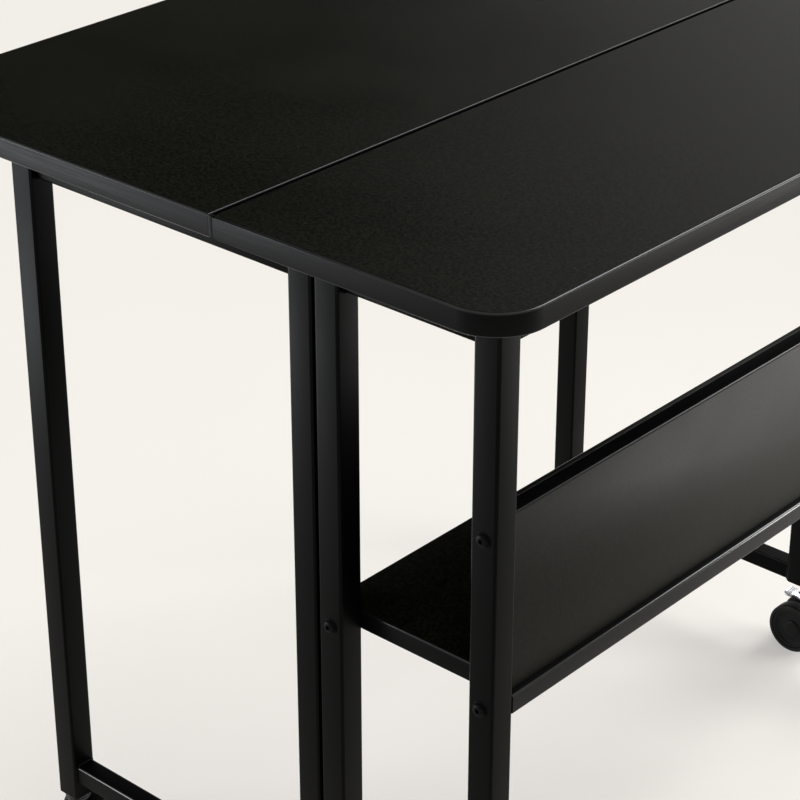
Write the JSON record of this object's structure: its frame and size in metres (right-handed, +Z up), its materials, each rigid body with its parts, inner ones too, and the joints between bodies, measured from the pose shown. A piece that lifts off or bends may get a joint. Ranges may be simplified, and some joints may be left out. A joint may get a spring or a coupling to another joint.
{
  "type": "folding computer desk",
  "caption": "Folding computer desk on casters: fixed board with low shelf and upright panel, and a drop leaf held up by gates that swing out.",
  "frame": {"origin": "floor under the centre of the boards", "axes": "+Z up, +Y along the boards, +X towards the fixed board's outer edge"},
  "size_m": [0.702, 0.826, 0.745],
  "materials": {
    "black_board": "matt black foil on board",
    "black_steel": "black powder coat",
    "black_plastic": "moulded black plastic",
    "zinc": "zinc plate",
    "dark_steel": "dark plated steel"
  },
  "bodies": {
    "frame": {"fixed_top": "black_board", "shelf_panel": "black_board", "shelf_board": "black_board", "long_rail_outer": "black_steel", "long_rail_inner": "black_steel", "shelf_rail": "black_steel", "leg_outer_near": "black_steel", "leg_inner_near": "black_steel", "end_rail_top_near": "black_steel", "end_rail_foot_near": "black_steel", "seam_plate_fixed_near": "dark_steel", "seam_pin_near": "zinc", "gate_bracket_upper_near": "black_steel", "gate_pin_upper_near": "zinc", "gate_bracket_lower_near": "black_steel", "gate_pin_lower_near": "zinc", "leg_outer_far": "black_steel", "leg_inner_far": "black_steel", "end_rail_top_far": "black_steel", "end_rail_foot_far": "black_steel", "seam_plate_fixed_far": "dark_steel", "seam_pin_far": "zinc", "gate_bracket_upper_far": "black_steel", "gate_pin_upper_far": "zinc", "gate_bracket_lower_far": "black_steel", "gate_pin_lower_far": "zinc"},
    "leaf": {"drop_leaf": "black_board", "seam_plate_leaf_near": "dark_steel", "seam_plate_leaf_far": "dark_steel"},
    "gate_near": {"gate_pivot_leg_near": "black_steel", "gate_outer_leg_near": "black_steel", "gate_rail_top_near": "black_steel", "gate_rail_foot_near": "black_steel", "gate_barrel_upper_near": "black_steel", "gate_barrel_lower_near": "black_steel", "gate_pad_near": "black_plastic"},
    "gate_far": {"gate_pivot_leg_far": "black_steel", "gate_outer_leg_far": "black_steel", "gate_rail_top_far": "black_steel", "gate_rail_foot_far": "black_steel", "gate_barrel_upper_far": "black_steel", "gate_barrel_lower_far": "black_steel", "gate_pad_far": "black_plastic"},
    "caster_outer_near": {"caster_body_outer_near": "dark_steel"},
    "wheels_outer_near": {"caster_wheels_outer_near": "black_plastic"},
    "lever_outer_near": {"caster_lever_outer_near": "zinc"},
    "caster_inner_near": {"caster_body_inner_near": "dark_steel"},
    "wheels_inner_near": {"caster_wheels_inner_near": "black_plastic"},
    "lever_inner_near": {"caster_lever_inner_near": "zinc"},
    "caster_gate_near": {"caster_body_gate_near": "dark_steel"},
    "wheels_gate_near": {"caster_wheels_gate_near": "black_plastic"},
    "caster_outer_far": {"caster_body_outer_far": "dark_steel"},
    "wheels_outer_far": {"caster_wheels_outer_far": "black_plastic"},
    "lever_outer_far": {"caster_lever_outer_far": "zinc"},
    "caster_inner_far": {"caster_body_inner_far": "dark_steel"},
    "wheels_inner_far": {"caster_wheels_inner_far": "black_plastic"},
    "lever_inner_far": {"caster_lever_inner_far": "zinc"},
    "caster_gate_far": {"caster_body_gate_far": "dark_steel"},
    "wheels_gate_far": {"caster_wheels_gate_far": "black_plastic"}
  },
  "joints": [
    {"name": "leaf_hinge", "type": "hinge", "parent": "frame", "child": "leaf", "pos_m": [0.0565, 0, 0.725], "axis": [0, 1, 0], "range_deg": [0, 7]},
    {"name": "gate_swing_near", "type": "hinge", "parent": "frame", "child": "gate_near", "pos_m": [0.133, -0.364, 0.4], "axis": [0, 0, -1], "range_deg": [0, 90]},
    {"name": "gate_swing_far", "type": "hinge", "parent": "frame", "child": "gate_far", "pos_m": [0.133, 0.364, 0.4], "axis": [0, 0, 1], "range_deg": [0, 90]},
    {"name": "swivel_outer_near", "type": "hinge", "parent": "frame", "child": "caster_outer_near", "pos_m": [0.3205, -0.3825, 0.061], "axis": [0, 0, 1], "continuous": true},
    {"name": "roll_outer_near", "type": "hinge", "parent": "caster_outer_near", "child": "wheels_outer_near", "pos_m": [0.2965, -0.3825, 0.028], "axis": [0, 1, 0], "continuous": true},
    {"name": "brake_outer_near", "type": "hinge", "parent": "caster_outer_near", "child": "lever_outer_near", "pos_m": [0.3135, -0.3825, 0.0512], "axis": [0, -1, 0], "range_deg": [0, 6]},
    {"name": "swivel_inner_near", "type": "hinge", "parent": "frame", "child": "caster_inner_near", "pos_m": [0.161, -0.3825, 0.061], "axis": [0, 0, 1], "continuous": true},
    {"name": "roll_inner_near", "type": "hinge", "parent": "caster_inner_near", "child": "wheels_inner_near", "pos_m": [0.137, -0.3825, 0.028], "axis": [0, 1, 0], "continuous": true},
    {"name": "brake_inner_near", "type": "hinge", "parent": "caster_inner_near", "child": "lever_inner_near", "pos_m": [0.154, -0.3825, 0.0512], "axis": [0, -1, 0], "range_deg": [0, 6]},
    {"name": "swivel_gate_near", "type": "hinge", "parent": "gate_near", "child": "caster_gate_near", "pos_m": [-0.191, -0.3825, 0.061], "axis": [0, 0, 1], "continuous": true},
    {"name": "roll_gate_near", "type": "hinge", "parent": "caster_gate_near", "child": "wheels_gate_near", "pos_m": [-0.191, -0.3585, 0.028], "axis": [1, 0, 0], "continuous": true},
    {"name": "swivel_outer_far", "type": "hinge", "parent": "frame", "child": "caster_outer_far", "pos_m": [0.3205, 0.3825, 0.061], "axis": [0, 0, 1], "continuous": true},
    {"name": "roll_outer_far", "type": "hinge", "parent": "caster_outer_far", "child": "wheels_outer_far", "pos_m": [0.2965, 0.3825, 0.028], "axis": [0, 1, 0], "continuous": true},
    {"name": "brake_outer_far", "type": "hinge", "parent": "caster_outer_far", "child": "lever_outer_far", "pos_m": [0.3135, 0.3825, 0.0512], "axis": [0, -1, 0], "range_deg": [0, 6]},
    {"name": "swivel_inner_far", "type": "hinge", "parent": "frame", "child": "caster_inner_far", "pos_m": [0.161, 0.3825, 0.061], "axis": [0, 0, 1], "continuous": true},
    {"name": "roll_inner_far", "type": "hinge", "parent": "caster_inner_far", "child": "wheels_inner_far", "pos_m": [0.137, 0.3825, 0.028], "axis": [0, 1, 0], "continuous": true},
    {"name": "brake_inner_far", "type": "hinge", "parent": "caster_inner_far", "child": "lever_inner_far", "pos_m": [0.154, 0.3825, 0.0512], "axis": [0, -1, 0], "range_deg": [0, 6]},
    {"name": "swivel_gate_far", "type": "hinge", "parent": "gate_far", "child": "caster_gate_far", "pos_m": [-0.191, 0.3825, 0.061], "axis": [0, 0, 1], "continuous": true},
    {"name": "roll_gate_far", "type": "hinge", "parent": "caster_gate_far", "child": "wheels_gate_far", "pos_m": [-0.191, 0.3585, 0.028], "axis": [1, 0, 0], "continuous": true}
  ]
}
